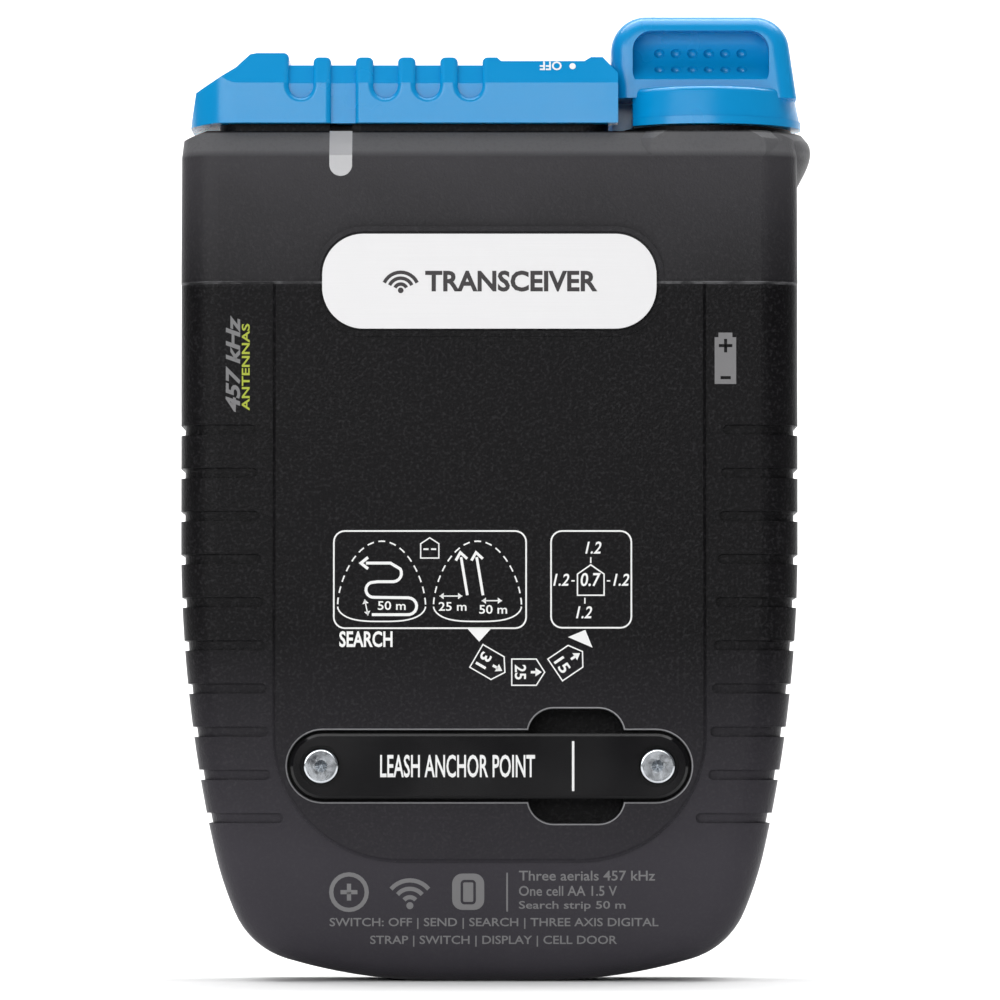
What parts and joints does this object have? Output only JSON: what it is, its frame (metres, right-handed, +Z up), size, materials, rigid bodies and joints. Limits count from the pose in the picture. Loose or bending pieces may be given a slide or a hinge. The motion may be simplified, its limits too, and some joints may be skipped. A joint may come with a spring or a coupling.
{
  "type": "avalanche transceiver",
  "caption": "Slim upright avalanche transceiver with a rotary thumb switch, ribbed top cover, leash bar, display and sliding battery door.",
  "frame": {"origin": "centre of the bottom of the whole object's box", "axes": "+Z up along the length, +Y from the back to the display side, +X towards the mode switch seen from the back"},
  "size_m": [0.0753, 0.0245, 0.1151],
  "materials": {
    "case_plastic": "fine moulded texture",
    "blue_plastic": "satin moulded",
    "seal_rubber": "soft matt",
    "button_rubber": "soft matt",
    "badge_metal": "brushed",
    "bar_plastic": "semi gloss",
    "zinc_steel": "zinc plated",
    "brass": "turned",
    "clear_plastic": "clear moulded",
    "window_glass": "polished",
    "led_plastic": "moulded",
    "board_laminate": "solder mask",
    "chip_plastic": "moulded",
    "shield_steel": "tinned",
    "display_glass": "reflective display",
    "backlight_plastic": "white moulded",
    "dome_steel": "pressed",
    "ferrite": "sintered",
    "copper_winding": "enamelled wire",
    "inner_plastic": "moulded",
    "cell_jacket": "printed film",
    "contact_steel": "nickel plated",
    "lock_plastic": "moulded"
  },
  "bodies": {
    "case": {"rear_cover": "case_plastic", "front_cover": "case_plastic", "top_cover": "blue_plastic", "case_seal": "seal_rubber", "knob_seal_ring": "seal_rubber", "window_gasket": "seal_rubber", "door_seal": "seal_rubber", "badge_plate": "badge_metal", "leash_bar": "bar_plastic", "leash_bar_screws": "zinc_steel", "top_cover_screws": "zinc_steel", "board_screws": "zinc_steel", "detent_ball": "zinc_steel", "detent_spring": "zinc_steel", "threaded_inserts": "brass", "light_pipe": "clear_plastic", "display_window": "window_glass", "status_led": "led_plastic", "main_board": "board_laminate", "processor": "chip_plastic", "radio_module": "chip_plastic", "hall_sensors": "chip_plastic", "buzzer": "chip_plastic", "shield_can": "shield_steel", "display_panel": "display_glass", "display_backlight": "backlight_plastic", "button_domes": "dome_steel", "antenna_rod_x": "ferrite", "antenna_rod_z": "ferrite", "antenna_core_y": "ferrite", "antenna_coil_x": "copper_winding", "antenna_coil_z": "copper_winding", "antenna_coil_y": "copper_winding", "battery_tray": "inner_plastic", "battery_cell": "cell_jacket", "battery_spring": "contact_steel", "battery_plate": "contact_steel"},
    "knob": {"mode_knob": "blue_plastic", "knob_spindle": "zinc_steel", "knob_clip": "zinc_steel", "knob_rotor": "inner_plastic", "knob_magnet": "ferrite"},
    "door": {"battery_door": "case_plastic"},
    "lock": {"door_lock": "lock_plastic"},
    "mark_key": {"mark_button": "button_rubber"},
    "menu_key": {"menu_button": "button_rubber"}
  },
  "joints": [
    {"name": "mode_turn", "type": "hinge", "parent": "case", "child": "knob", "pos_m": [0.02505, 0, 0.1018], "axis": [0, 0, -1], "range_deg": [0, 90]},
    {"name": "mark_press", "type": "slide", "parent": "case", "child": "mark_key", "axis": [0, -1, 0], "range_m": [0, 0.0005], "stiffness_N_per_m": 800, "springref_m": -0.0005},
    {"name": "menu_press", "type": "slide", "parent": "case", "child": "menu_key", "axis": [0, -1, 0], "range_m": [0, 0.0005], "stiffness_N_per_m": 800, "springref_m": -0.0005},
    {"name": "door_slide", "type": "slide", "parent": "case", "child": "door", "axis": [1, 0, 0], "range_m": [0, 0.022]},
    {"name": "lock_turn", "type": "hinge", "parent": "door", "child": "lock", "pos_m": [0.02205, 0.0116, 0.0625], "axis": [0, 1, 0], "range_deg": [0, 90]}
  ]
}
